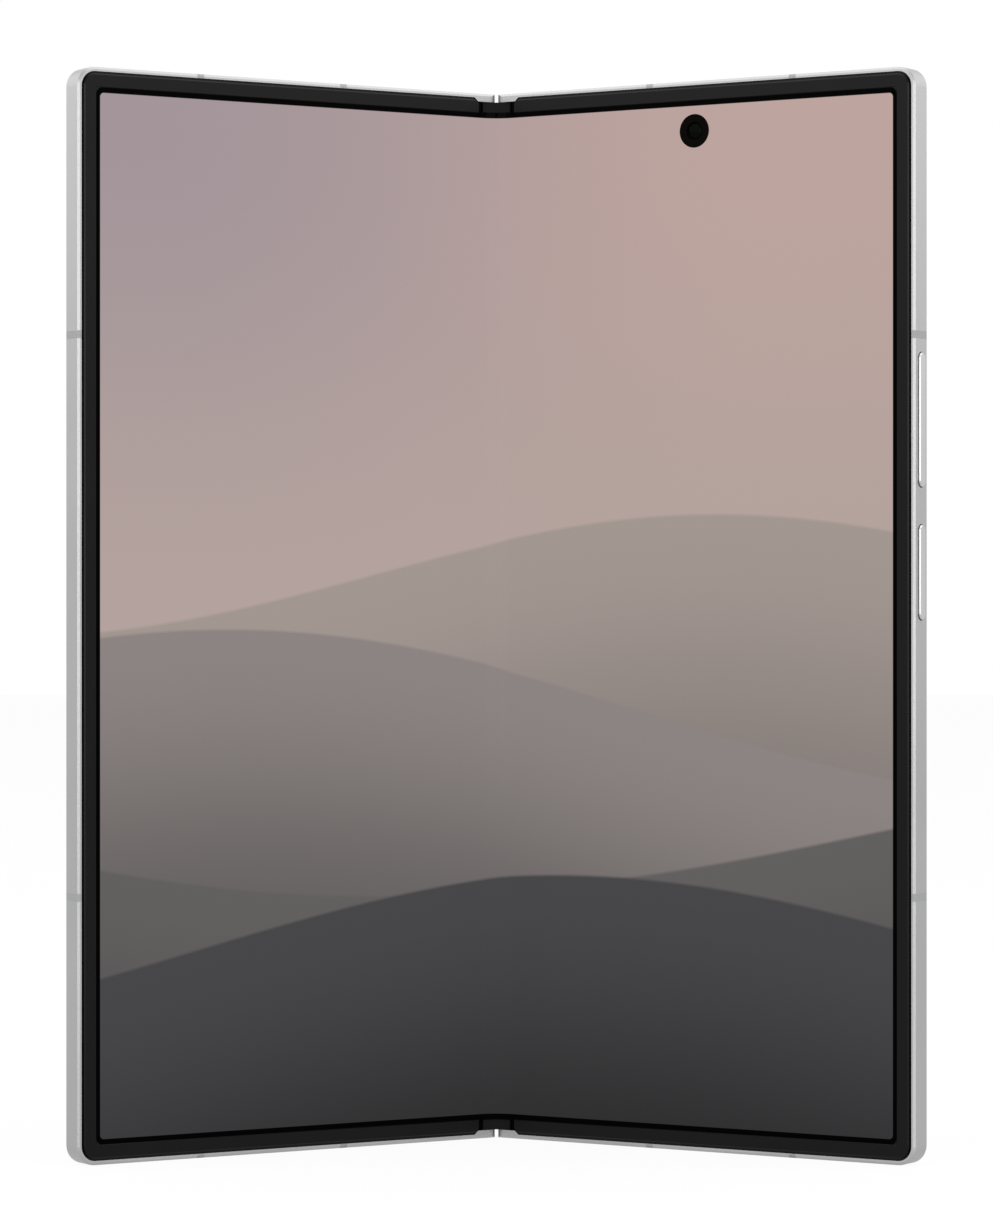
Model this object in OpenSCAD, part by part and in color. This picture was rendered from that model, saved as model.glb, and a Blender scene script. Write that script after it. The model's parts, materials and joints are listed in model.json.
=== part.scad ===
// Book-style foldable smartphone, stood on its short edges and half open.
// The hinge runs along Z, the inner screen faces -Y, and the origin is the middle of
// the footprint. Both halves are drawn flat, then swung about their own fold axes.

/* [Phone] */
// Height of the phone along the hinge
phone_h = 158.4; // [152:0.2:166]
// Width of one half, from the fold line to its outer side
half_w = 71.6; // [70:0.2:76]
// Thickness from the display surface to the back face
thick = 4.2; // [4.2:0.05:4.6]
// Angle that each half is folded up from flat as the phone stands
rest_fold = 32; // [10:1:70]
// Radius of the outer corners
corner_r = 2.8; // [2.6:0.1:6]

/* [Hinge] */
// Gap between the two display surfaces when the phone is shut
shut_gap = 0.5; // [0.5:0.05:0.7]
// Depth of the two fold axes behind the display surface
axis_d = 1.4; // [1.35:0.05:1.45]
// Wall of the spine cover
spine_wall = 0.5; // [0.4:0.05:0.55]
// Width of the black end caps of the spine
cap_w = 4.7; // [4.4:0.1:4.8]
// Radius of their front edges
cap_r = 0.35; // [0.3:0.05:0.7]
// How far each end of the spine lies inside the ends of the phone
spine_inset = 1.25; // [1.25:0.05:1.6]
// Running clearance between the spine cover and the halves
spine_fit = 0.12; // [0.1:0.01:0.14]
// Radius of the round cores that the arc rails slide on
core_r = 1.62; // [1.5:0.01:1.64]
// Radial thickness of the arc rails
rail_t = 0.53; // [0.4:0.01:0.55]
// Running clearance of the arc rails on their cores
rail_fit = 0.05; // [0.04:0.01:0.08]
// Length of each hinge base
base_len = 20; // [14:1:30]
// Distance of the hinge bases from the middle of the phone
base_off = 34; // [24:1:45]
// Teeth on each gear of the synchronising train
gear_teeth = 12; // [12:2:14]
// Pitch radius of the gears
gear_r = 0.81; // [0.78:0.01:0.83]
// Radius of the gear shafts
pin_r = 0.28; // [0.24:0.01:0.3]
// Running clearance of the gears on their shafts
pin_fit = 0.03; // [0.02:0.01:0.05]
// Height of the gears
gear_h = 2.8; // [2:0.1:4]
// Height of the lever on each sync arm
lever_h = 6.4; // [4:0.1:8]
// Reach of each sync arm from the fold line, measured flat
arm_reach = 9; // [7:0.1:9]

/* [Frame] */
// Width of the small bevel on the front edge of the rails
edge_w = 0.34; // [0.2:0.02:0.4]
// Depth of that bevel
edge_d = 0.2; // [0.1:0.02:0.3]
// Width of the flat front lip of the rails
lip_w = 0.28; // [0.24:0.02:0.4]
// Width of the groove between lip and bezel
groove_w = 0.32; // [0.24:0.02:0.34]
// Depth of that groove
groove_d = 0.55; // [0.45:0.05:0.8]
// Thickness of the rail wall
wall = 1.7; // [1.6:0.05:1.9]
// Width of the bevel on the back edge of the rails
back_w = 0.5; // [0.3:0.05:0.6]
// Depth of that bevel
back_d = 0.55; // [0.3:0.05:0.7]
// Depth of the rail lip beside the fold
end_lip = 1.2; // [1.1:0.05:1.2]
// Width of the plastic antenna bands
band_w = 1.15; // [0.8:0.05:1.6]
// Middle of the bands in the side rails, from the ends of the phone
band_z = 38.65; // [30:0.05:39]
// Middle of the first band in the end rails, from the fold line
band_x1 = 27.4; // [24:0.1:29]
// Middle of the second band in the end rails, from the outer side
band_e2 = 20.1; // [18.6:0.1:20.6]
// Thickness of the mid frame plate
plate_t = 0.54; // [0.5:0.02:0.6]

/* [Screen] */
// Thickness of the folding display panel
panel_t = 0.36; // [0.3:0.01:0.38]
// Distance from the edge of the phone to the display panel
panel_e = 1.3; // [1.28:0.01:1.5]
// Width of the raised bezel over the edge of the display
bezel_w = 2; // [1.6:0.05:2.15]
// How far the bezel stands proud of the display
bezel_up = 0.2; // [0.1:0.01:0.22]
// Width of the bezel's skirt beside the display
skirt_w = 0.28; // [0.2:0.01:0.28]
// Distance of the bezel's ends from the fold line
bezel_x0 = 3.85; // [3.6:0.05:3.95]
// Depth of the black seal at the bottom of the groove
seal_d = 0.26; // [0.2:0.02:0.3]
// Thickness of the rear glass and of the cover display
glass_t = 0.6; // [0.5:0.02:0.65]
// Distance from the edge of the phone to the rear glass
glass_e = 0.8; // [0.65:0.05:1]
// Gap round the rear glass and other fixed insets
inset_fit = 0.03; // [0.02:0.01:0.05]

/* [Cameras] */
// Inner camera window diameter
eye_d = 4.8; // [4:0.1:5]
// Inner camera from the fold line
eye_x = 35.1; // [33:0.1:36]
// Inner camera from the top of the phone
eye_z = 7.4; // [7:0.1:8]
// Width of the rear camera island
island_w = 18.4; // [17:0.2:19]
// Length of the rear camera island
island_l = 58; // [56:0.5:60]
// Height of the island above the back
island_up = 2; // [1.5:0.1:2.4]
// Margin from the island to the outer side and to the top
island_e = 4.2; // [4:0.1:5]
// Bevel round the top of the island
island_c = 0.6; // [0.3:0.1:0.8]
// Diameter of each lens ring
ring_d = 14; // [12:0.2:15]
// Width of the lens rings
ring_w = 1; // [0.8:0.1:1.4]
// Height of the lens rings above the island
ring_up = 0.5; // [0.3:0.05:0.6]
// Cover camera window diameter
cover_eye_d = 4; // [3:0.1:4.5]

/* [Keys and port] */
// Width of the side keys
key_w = 1.8; // [1.5:0.05:1.9]
// How far the keys stand out
key_up = 0.3; // [0.2:0.02:0.35]
// Bevel along the edge of the keys
key_c = 0.16; // [0.08:0.02:0.2]
// Clearance round the keys
key_fit = 0.12; // [0.08:0.01:0.14]
// Length of the volume key
vol_l = 19.4; // [16:0.1:20]
// Middle of the volume key, from the top of the phone
vol_z = 50.9; // [50.5:0.1:52]
// Length of the side key
side_l = 13.7; // [12:0.1:15]
// Middle of the side key, from the top of the phone
side_z = 72.9; // [71:0.1:80]
// Inside width of the port shell
port_w = 8.34; // [8.34:0.01:8.4]
// Inside height of the port shell
port_h = 2.56; // [2.5:0.01:2.56]
// Wall of the port shell
port_t = 0.3; // [0.2:0.01:0.3]
// Depth of the port shell
port_l = 6.2; // [5:0.1:7]
// Width of the SIM tray
tray_w = 12.4; // [11:0.1:12.6]
// Width of the speech slot at the top of the cover display
slot_l = 9; // [6:0.5:12]
// Height of that slot
slot_w = 0.7; // [0.5:0.05:0.9]
// Length of the SIM tray
tray_l = 17; // [15:0.1:20]
// Thickness of the SIM tray
tray_t = 0.8; // [0.7:0.02:0.9]

/* [Inner parts] */
// Distance of the batteries and boards from the outer side
inner_e = 5.6; // [5.2:0.1:7]
// Distance of the batteries and boards from the fold line
inner_x0 = 14; // [13:0.5:16]
// Height of the lower end of the batteries above the end of the phone
battery_z0 = 25; // [23.5:0.5:30]
// Length that the circuit board takes at the top of the left half
head_l = 32.4; // [30:0.2:36]
// Gap between neighbouring inner parts
part_gap = 1.2; // [1:0.1:2]
// Thickness of the circuit boards
board_t = 0.6; // [0.5:0.05:0.7]
// Wall of the ribs round the battery bays
rib_t = 0.8; // [0.6:0.1:1]
// Side of the square base of each rear camera
eye_base = 13; // [11:0.5:13.5]
// Diameter of the rear camera barrels
barrel_d = 10; // [8:0.5:11]

/* [Hidden] */
$fn = 96;

// fold axes and the footprint
axis_x = axis_d + shut_gap / 2;
lobe_r = thick - axis_d;
sweep_r = lobe_r + spine_fit;
front_y = axis_d - (half_w - axis_x) * sin(rest_fold) - (axis_d - edge_d) * cos(rest_fold);
origin_y = -(front_y + thick) / 2;
mid_z = phone_h / 2;

// where the flat display ends and the bend begins, and the radius of the bend at rest
bend_x = 2 * axis_x;
vertex_t = (axis_d * sin(rest_fold) - axis_x) / cos(rest_fold);
bend_r = (axis_x - vertex_t) / tan(rest_fold);

// steps of the rail section, inwards from the edge
lip_in = edge_w + lip_w;
ring_e = lip_in + groove_w;
glass_y = thick - glass_t;
plate_y = panel_t + plate_t;
step_x = bezel_x0 + end_lip - lip_in + 0.06;
glass_x0 = step_x + 5 * inset_fit;
wing_y0 = panel_t + 0.04;
wing_t = 0.24;
wing_x0 = bend_x + 0.02;
wing_x1 = 9.2;
lobe_front = wing_y0 + wing_t + 0.06;
beam_y = lobe_front - 0.04;
beam_x = 6.4;
screen_end = ring_e + bezel_w - 0.13;

// synchronising train
shaft_off = gear_r * 3 - axis_x;
shaft_x = gear_r * 3;
shaft_y = axis_d + shaft_off;
case_h = gear_h + lever_h + 0.8;
case_t = 1;
case_z = mid_z - case_h / 2;
gear_z = case_z + 0.2;
lever_z = gear_z + gear_h + 0.2;
swing = shaft_off * (sqrt(2) - 1);

// rear and inner parts
inside_y = plate_y + 0.06;
inside_t = glass_y - 0.06 - inside_y;
board_e = wall + 1.3;
island_x = half_w - island_e - island_w / 2;
island_z = phone_h - island_e - island_l / 2;
lens_step = (island_l - island_w) / 2;
island_z0 = island_z - island_l / 2;
inner_x1 = half_w - inner_e;
board_y1 = inside_y + board_t;
cover_x = (glass_x0 + half_w - glass_e) / 2;
band_x2 = half_w - band_e2;
left_bay_z1 = phone_h - head_l - 4 * part_gap;
right_bay_z1 = island_z0 - 5 * part_gap;
key_y = thick / 2 - 0.15;
flange_t = 0.42;
rock_gap = 0.3;
port_x = (band_x1 + band_x2) / 2;
port_y = panel_t + 0.06 + port_t + port_h / 2;
port_z0 = ring_e + 0.06;
port_z1 = port_z0 + port_l;
tray_x = (band_x2 + half_w - corner_r) / 2;
tray_y = thick / 2 + 0.05;
tray_head = 0.9;
slot_e = 2.6;
ear_w = slot_l + 5;
ear_e = 4.2;

silver = [0.78, 0.79, 0.8];
steel = [0.6, 0.61, 0.63];
black = [0.09, 0.09, 0.1];

// ---- placing ----
module at_spine() translate([0, origin_y, 0]) children();
module at_right()
  at_spine() translate([axis_x, axis_d, 0]) rotate([0, 0, -rest_fold])
    translate([-axis_x, -axis_d, 0]) children();
module at_left() mirror([1, 0, 0]) at_right() children();
module upside_down() translate([0, 0, phone_h]) mirror([0, 0, 1]) children();
module both_ends() { children(); upside_down() children(); }

// a sheet in the XZ plane from depth y0 to depth y1
module sheet(y0, y1) translate([0, y1, 0]) rotate([90, 0, 0]) linear_extrude(y1 - y0) children();
// a bar along X from x0 to x1, of a section drawn in Y and Z
module bar_x(x0, x1)
  translate([x0, 0, 0]) rotate([90, 0, 90]) linear_extrude(x1 - x0) children();
module block(x0, x1, y0, y1, z0, z1) translate([x0, y0, z0]) cube([x1 - x0, y1 - y0, z1 - z0]);
// a flat slot with round ends, w across and l long along the second axis
module slot_shape(w, l) {
  square([w, l - w], center = true);
  for (s = [-1, 1]) translate([0, s * (l - w) / 2]) circle(d = w);
}
// a block in the XZ plane with rounded upright edges
module pad(x0, x1, y0, y1, z0, z1, r)
  sheet(y0, y1) {
    translate([x0 + r, z0]) square([x1 - x0 - 2 * r, z1 - z0]);
    translate([x0, z0 + r]) square([x1 - x0, z1 - z0 - 2 * r]);
    for (x = [x0 + r, x1 - r], z = [z0 + r, z1 - r]) translate([x, z]) circle(r);
  }
// a pill w wide and l long that rises h along Z, with its top edge bevelled by c
module pill(w, l, h, c) {
  half = [[0, 0], [w / 2, 0], [w / 2, h - c], [w / 2 - c, h], [0, h]];
  for (turn = [0, 180]) rotate([0, 0, turn]) {
    translate([0, (l - w) / 2, 0]) rotate_extrude(angle = 180) polygon(half);
    rotate([90, 0, 0]) translate([0, 0, -(l - w) / 2]) linear_extrude(l - w) polygon(half);
  }
}
// outline of one half, e inside its edge, from x0 outwards
module outline(e, x0) {
  r = max(corner_r - e, 0.3);
  translate([x0, e]) square([half_w - e - r - x0, phone_h - 2 * e]);
  translate([half_w - e - 2 * r, e + r]) square([2 * r, phone_h - 2 * e - 2 * r]);
  for (z = [e + r, phone_h - e - r]) translate([half_w - e - r, z]) circle(r);
}

// ---- rails: one section run along the edge of a half ----
rail_pts = [[0, edge_d], [edge_w, 0], [lip_in, 0], [lip_in, groove_d], [ring_e, groove_d],
  [ring_e, panel_t], [wall, panel_t], [wall, glass_y], [glass_e, glass_y], [glass_e, thick],
  [back_w, thick], [0, thick - back_d]];
bezel_pts = [[ring_e, panel_t], [ring_e, -bezel_up / 4], [ring_e + bezel_up, -bezel_up],
  [ring_e + bezel_w - 0.1, -bezel_up], [ring_e + bezel_w, 0.1 - bezel_up],
  [ring_e + bezel_w, 0], [ring_e + skirt_w, 0], [ring_e + skirt_w, panel_t]];
// in a corner tighter than the bezel is wide, its section ends on the corner's own centre
corner_e = min(corner_r, ring_e + bezel_w);
bezel_corner_pts = [[ring_e, panel_t], [ring_e, -bezel_up / 4], [ring_e + bezel_up, -bezel_up],
  [corner_e, -bezel_up], [corner_e, 0], [ring_e + skirt_w, 0], [ring_e + skirt_w, panel_t]];
seal_pts = [[lip_in, seal_d], [ring_e + skirt_w / 2, seal_d], [ring_e + skirt_w / 2, panel_t],
  [ring_e, panel_t], [ring_e, groove_d], [lip_in, groove_d]];

module end_run(pts, x0, x1) bar_x(x0, x1) polygon([for (p = pts) [p[1], phone_h - p[0]]]);
module side_run(pts, z0, z1)
  translate([0, 0, z0]) linear_extrude(z1 - z0) polygon([for (p = pts) [half_w - p[0], p[1]]]);
module corner_run(pts)
  translate([half_w - corner_r, 0, phone_h - corner_r]) rotate([-90, 0, 0]) rotate([0, 0, -90])
    rotate_extrude(angle = 90) polygon([for (p = pts) [corner_r - p[0], p[1]]]);

module spine_sweep()
  translate([axis_x, axis_d, end_lip]) cylinder(r = sweep_r, h = phone_h - 2 * end_lip);

// the rail end beside the fold: a nose that is round about the fold axis
module nose() intersection() {
  translate([0, 0, mid_z]) linear_extrude(mid_z) {
    translate([axis_x, axis_d]) circle(axis_d);
    polygon([[axis_x, 0], [step_x, 0], [step_x, thick], [axis_x + axis_d, thick],
      [axis_x, 2 * axis_d]]);
  }
  bar_x(0, step_x) polygon([[edge_d, phone_h], [0, phone_h - edge_w], [0, mid_z],
    [thick, mid_z], [thick, phone_h - back_w], [thick - back_d, phone_h]]);
  sheet(0, thick) polygon([[0, phone_h - end_lip], [bezel_x0, phone_h - end_lip],
    [step_x, phone_h - lip_in], [step_x, phone_h], [0, phone_h]]);
}
module hinge_end() difference() {
  union() { nose(); end_run(rail_pts, step_x, band_x1 - band_w / 2); }
  spine_sweep();
}
module end_mid() end_run(rail_pts, band_x1 + band_w / 2, band_x2 - band_w / 2);
module corner() {
  end_run(rail_pts, band_x2 + band_w / 2, half_w - corner_r);
  corner_run(rail_pts);
  side_run(rail_pts, phone_h - band_z + band_w / 2, phone_h - corner_r);
}
module bands() {
  both_ends() {
    for (x = [band_x1, band_x2]) end_run(rail_pts, x - band_w / 2, x + band_w / 2);
    side_run(rail_pts, phone_h - band_z - band_w / 2, phone_h - band_z + band_w / 2);
  }
}
module side() side_run(rail_pts, band_z + band_w / 2, phone_h - band_z - band_w / 2);

// runs a section along the whole edge of a half from x0, with its own section in the corners
module edge_run(pts, x0, corner_pts) {
  both_ends() { end_run(pts, x0, half_w - corner_r); corner_run(corner_pts); }
  side_run(pts, corner_r, phone_h - corner_r);
}
// the raised bezel, with the black seal that closes the groove beside it
module bezel() {
  difference() {
    edge_run(bezel_pts, bezel_x0, bezel_corner_pts);
    both_ends() sheet(-1, 1) polygon([[0, phone_h - end_lip - groove_w],
      [bezel_x0, phone_h - end_lip - groove_w], [step_x, phone_h - ring_e], [step_x, phone_h],
      [0, phone_h]]);
  }
  edge_run(seal_pts, step_x, seal_pts);
  both_ends() sheet(seal_d, groove_d) polygon([[axis_x + axis_d, phone_h - end_lip],
    [bezel_x0, phone_h - end_lip], [step_x, phone_h - lip_in], [step_x, phone_h - panel_e + 0.02],
    [axis_x + axis_d, phone_h - panel_e + 0.02]]);
}

// ---- one half, drawn flat ----
module screen() sheet(0, panel_t) outline(panel_e, bend_x);
module back_pane() sheet(glass_y, thick) outline(glass_e + inset_fit, glass_x0);
module mid_frame(bay_z1) difference() {
  x0 = axis_x + 0.9;
  union() {
    sheet(panel_t, plate_y) outline(wall, wing_x1 + inset_fit);
    block(x0, wing_x1 + 1, beam_y, plate_y, wall, phone_h - wall);
    block(x0, beam_x, beam_y, glass_y, wall, phone_h - wall);
    block(x0, glass_x0 - inset_fit, beam_y, thick, wall, phone_h - wall);
    block(x0, step_x, beam_y, thick, end_lip, phone_h - end_lip);
    bay_ribs(bay_z1);
  }
  spine_sweep();
  // pocket in which the tongue of the sync arm slides
  block(axis_x, arm_reach + 0.4, 0, beam_y + swing + 0.1, lever_z - 0.3, lever_z + lever_h + 0.3);
}
// thin wing plates with the arc rails that slide round the cores of the hinge bases
module wing_bracket() {
  z0 = mid_z + base_off - base_len / 2;
  block(wing_x0, wing_x1, wing_y0, wing_y0 + wing_t, z0, z0 + base_len);
  translate([axis_x, axis_d, z0 + 1]) rotate([0, 0, -25]) rotate_extrude(angle = 140)
    translate([core_r + rail_fit, 0]) square([rail_t, base_len - 2]);
}
// pouch cell with the folded seam and its protection board at the top
module battery(z1) {
  pad(inner_x0 - 2, inner_x1, inside_y, inside_y + inside_t, battery_z0, z1, 1.2);
  pad(inner_x0 + 8, inner_x1 - 8, inside_y + 0.4, inside_y + inside_t - 0.4, z1 - 0.5, z1 + 2.2, 0.4);
}
// ribs round the bay of a battery, open where its protection board passes
module bay_ribs(z1) difference() {
  gap = part_gap / 4;
  pad(inner_x0 - 2 - gap - rib_t, inner_x1 + gap + rib_t, panel_t, glass_y - inset_fit,
    battery_z0 - gap - rib_t, z1 + gap + rib_t, 1.2 + gap + rib_t);
  pad(inner_x0 - 2 - gap, inner_x1 + gap, plate_y, glass_y + 1,
    battery_z0 - gap, z1 + gap, 1.2 + gap);
  block(inner_x0 + 8 - gap, inner_x1 - 8 + gap, plate_y, glass_y + 1, z1 - 1, z1 + 4);
}
// a camera barrel on a square base
module eye_module(x, z, y1) {
  pad(x - eye_base / 2, x + eye_base / 2, plate_y + part_gap, glass_y - 0.1,
    z - eye_base / 2, z + eye_base / 2, 0.5);
  // stepped barrel
  translate([x, plate_y, z]) rotate([-90, 0, 0]) rotate_extrude() polygon([[0, 0],
    [barrel_d / 2, 0], [barrel_d / 2, y1 - plate_y - 1.4], [barrel_d / 2 - 0.7, y1 - plate_y - 1.2],
    [barrel_d / 2 - 0.7, y1 - plate_y], [0, y1 - plate_y]]);
}

// ---- spine ----
module stadium(r, y1) {
  for (s = [-1, 1]) translate([s * axis_x, axis_d]) circle(r);
  translate([-axis_x, axis_d]) square([2 * axis_x, y1 - axis_d]);
}
module spine_cover() color(silver) at_spine()
  translate([0, 0, spine_inset]) linear_extrude(phone_h - 2 * spine_inset) difference() {
    stadium(lobe_r, thick);
    stadium(lobe_r - spine_wall, thick - spine_wall);
    translate([-10, lobe_front - 10]) square([20, 10]);
    translate([-axis_x, 0]) square([2 * axis_x, axis_d + lobe_r - spine_wall]);
  }
cap_h = screen_end - spine_inset;
cap_y = 0.3;
module spine_cap() {
  translate([0, 0, spine_inset]) linear_extrude(cap_h) {
    translate([-cap_w / 2, cap_y + cap_r]) square([cap_w, axis_d - cap_r]);
    translate([cap_r - cap_w / 2, cap_y]) square([cap_w - 2 * cap_r, axis_d]);
    for (s = [-1, 1]) translate([s * (cap_w / 2 - cap_r), cap_y + cap_r]) circle(cap_r);
  }
  translate([0, 0, spine_inset]) linear_extrude(cap_h + 3) intersection() {
    stadium(lobe_r - spine_wall - inset_fit, thick - spine_wall - inset_fit);
    translate([-10, axis_d - 0.3]) square([20, 10]);
  }
}
module spine_cap_bottom() color(black) at_spine() spine_cap();
module spine_cap_top() color(black) at_spine() upside_down() spine_cap();

// two round cores on a web: the arc rails of the halves turn about them
module hinge_base() translate([0, 0, mid_z + base_off - base_len / 2]) linear_extrude(base_len)
  difference() {
    union() {
      for (s = [-1, 1]) translate([s * axis_x, axis_d]) circle(core_r);
      translate([-axis_x / 2, axis_d]) square([axis_x, core_r * 0.7]);
      translate([-axis_x / 3, axis_d]) square([axis_x * 2 / 3, lobe_r - spine_wall]);
    }
    translate([-10, -9]) square([20, 10]);
    translate([0, 0.6]) circle(0.9);
  }
module hinge_base_upper() color(steel) at_spine() hinge_base();
module hinge_base_lower() color(steel) at_spine() upside_down() hinge_base();

module shafts(r) for (x = [-3, -1, 1, 3]) translate([x * gear_r, shaft_y]) circle(r);
module sync_case() color(steel) at_spine() {
  for (z = [case_z - case_t, case_z + case_h]) translate([0, 0, z]) linear_extrude(case_t)
    difference() {
      intersection() {
        stadium(lobe_r - spine_wall - inset_fit, thick - spine_wall);
        translate([-10, axis_d - 0.4]) square([20, 10]);
      }
      shafts(pin_r);
    }
  translate([-gear_r * 2, thick - spine_wall - 0.36, case_z - case_t / 2])
    cube([gear_r * 4, 0.36, case_h + case_t]);
}
module sync_pins() color(silver) at_spine()
  translate([0, 0, case_z - case_t]) linear_extrude(case_h + 2 * case_t) shafts(pin_r);

// trapezoid teeth that start at the given angle
function tooth(a, r, w) = [r * cos(a + w), r * sin(a + w)];
module gear(phase) difference() {
  pitch = 360 / gear_teeth;
  tip = gear_r * (1 + 1.7 / gear_teeth);
  root = gear_r * (1 - 2.5 / gear_teeth);
  polygon([for (i = [0 : gear_teeth - 1]) for (k = [[root, -0.31], [gear_r, -0.21],
    [tip, -0.1], [tip, 0.1], [gear_r, 0.21], [root, 0.31]])
    tooth(phase + i * pitch, k[0], k[1] * pitch)]);
  circle(pin_r + pin_fit);
}
module hub() difference() { circle(gear_r * 0.68); circle(pin_r + pin_fit); }

// the lever bends forward over the edge of the spine cover into the half
lever_pts = [[wing_x0 + 0.1, wing_y0 + 0.02], [arm_reach, wing_y0 + 0.02],
  [arm_reach, wing_y0 + wing_t], [wing_x0 + 0.3, wing_y0 + wing_t],
  [shaft_x + gear_r * 0.65, shaft_y], [shaft_x, shaft_y + gear_r * 0.55],
  [shaft_x - gear_r * 0.4, shaft_y - gear_r * 0.5]];
module sync_arm(phase) {
  translate([shaft_x, shaft_y, gear_z]) linear_extrude(gear_h) gear(phase);
  translate([shaft_x, shaft_y, gear_z + gear_h]) linear_extrude(0.2) hub();
  translate([shaft_x, shaft_y, lever_z]) rotate([0, 0, -rest_fold]) linear_extrude(lever_h)
    difference() {
      union() {
        circle(gear_r * 0.68);
        translate([-shaft_x, -shaft_y]) polygon(lever_pts);
      }
      circle(pin_r + pin_fit);
    }
}
module idler(phase) {
  translate([gear_r, shaft_y, gear_z]) linear_extrude(gear_h) gear(phase);
  translate([gear_r, shaft_y, gear_z + gear_h]) linear_extrude(lever_h + 0.2)
    difference() { circle(gear_r * 0.5); circle(pin_r + pin_fit); }
}
module right_sync_arm() color(silver) at_spine() sync_arm(0);
module left_sync_arm() color(silver) at_spine() mirror([1, 0, 0]) sync_arm(180 / gear_teeth);
module right_idler() color(steel) at_spine() idler(180 / gear_teeth);
module left_idler() color(steel) at_spine() mirror([1, 0, 0]) idler(0);

// the part of the screen that bends, at its radius in the rest pose
module fold_screen() color(black) at_spine()
  translate([0, -bend_r, screen_end]) rotate([0, 0, 90 - rest_fold])
    rotate_extrude(angle = 2 * rest_fold)
      translate([bend_r, 0]) square([panel_t, phone_h - 2 * screen_end]);

// ---- left half ----
module left_rail_hinge_ends() color(silver) at_left() both_ends() hinge_end();
module left_rail_mids() color(silver) at_left() both_ends() end_mid();
module left_rail_corner_top() color(silver) at_left() difference() {
  corner();
  translate([tray_x, tray_y, phone_h - wall - 1]) rotate([0, 0, 90]) linear_extrude(wall + 2)
    slot_shape(tray_t + 2 * key_fit, tray_w + 2 * key_fit);
}
module left_rail_corner_bottom() color(silver) at_left() upside_down() corner();
module left_rail_side() color(silver) at_left() side();
module left_bands() color([0.62, 0.63, 0.64]) at_left() bands();
module left_bezel() color(black) at_left() bezel();
module left_mid_frame() color(steel) at_left() mid_frame(left_bay_z1);
module left_screen() color(black) at_left() screen();
module left_wing_brackets() color(steel) at_left() both_ends() wing_bracket();
module cover_eye() translate([cover_x, phone_h - eye_z]) circle(d = cover_eye_d);
module speech_slot(m) translate([cover_x, phone_h - slot_e]) rotate(90)
  slot_shape(slot_w - 2 * m, slot_l - 2 * m);
module cover_screen() color(black) at_left() difference() {
  back_pane();
  sheet(glass_y - 1, thick + 1) { cover_eye(); speech_slot(0); }
}
module cover_camera() color([0.05, 0.06, 0.08]) at_left() {
  sheet(glass_y - 0.8, thick - 0.02) translate([cover_x, phone_h - eye_z])
    circle(d = cover_eye_d - 2 * inset_fit);
  pad(cover_x - 3, cover_x + 3, inside_y, glass_y - 0.4, phone_h - eye_z - 3,
    phone_h - eye_z + 3, 0.5);
}
module left_battery() color([0.2, 0.2, 0.21]) at_left() battery(left_bay_z1);
module sub_board() color([0.1, 0.22, 0.16]) at_left() difference() {
  eye_w = cover_eye_d + 2.6;
  pad(inner_x0, inner_x1 + 2, inside_y, board_y1, phone_h - head_l, phone_h - board_e, 1);
  block(cover_x - eye_w / 2, cover_x + eye_w / 2, 0, thick, phone_h - eye_z - eye_w / 2, phone_h);
  block(cover_x - ear_w / 2 - 0.3, cover_x + ear_w / 2 + 0.3, 0, thick, phone_h - ear_e - 0.2,
    phone_h);
}
// slim speaker above the cover camera, with its mesh in the slot of the glass
module earpiece() color([0.15, 0.15, 0.16]) at_left() {
  pad(cover_x - ear_w / 2, cover_x + ear_w / 2, inside_y, inside_y + inside_t,
    phone_h - ear_e, phone_h - wall - 0.1, 0.6);
  sheet(inside_y + inside_t - 0.01, thick - 0.15) speech_slot(inset_fit);
}
module sim_tray() color(silver) at_left() {
  translate([tray_x, tray_y, phone_h - tray_head]) rotate([0, 0, 90]) difference() {
    pill(tray_t, tray_w, tray_head, 0.06);
    translate([0, tray_w / 2 - 1.5, -1]) cylinder(r = 0.3, h = tray_head + 2);
  }
  difference() {
    block(tray_x - tray_w / 2 + 0.5, tray_x + tray_w / 2 - 0.5, tray_y - tray_t / 2 + 0.05,
      tray_y + tray_t / 2 - 0.05, phone_h - tray_l, phone_h - tray_head + 0.1);
    pad(tray_x - tray_w / 2 + 1.4, tray_x + tray_w / 2 - 1.4, tray_y - tray_t / 2 + 0.2,
      tray_y + 2, phone_h - tray_l + 1.2, phone_h - 3, 0.4);
  }
}
module sim_cage() color(steel) at_left() difference() {
  block(tray_x - tray_w / 2 - 0.2, tray_x + tray_w / 2 + 0.2, board_y1 + 0.06,
    tray_y + tray_t / 2 + 0.3, phone_h - tray_l - 1, phone_h - wall - 0.1);
  block(tray_x - tray_w / 2 + 0.4, tray_x + tray_w / 2 - 0.4, tray_y - tray_t / 2 - 0.03,
    tray_y + tray_t / 2 + 0.05, phone_h - tray_l - 0.4, phone_h);
}

// ---- right half ----
module key_slot(z, l, w_more)
  translate([half_w - wall - 1, key_y, phone_h - z]) rotate([90, 0, 90]) linear_extrude(wall + 2)
    slot_shape(key_w + w_more, l + w_more);
// bevelled pill key through the rail wall, with a flange behind the wall
module key(z, l, gap) {
  x1 = half_w - wall - gap;
  translate([x1 - 0.1, key_y, phone_h - z]) rotate([90, 0, 90])
    pill(key_w, l, wall + gap + 0.1 + key_up, key_c);
  block(x1 - flange_t, x1, inside_y, key_y + key_w / 2 + 0.15,
    phone_h - z - l / 2 - 0.5, phone_h - z + l / 2 + 0.5);
}
module grille(x0) for (i = [0 : 2])
  translate([x0 + 1.6 * i, thick / 2 - 0.1, phone_h - wall - 1]) linear_extrude(wall + 2)
    slot_shape(0.8, 2);

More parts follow.
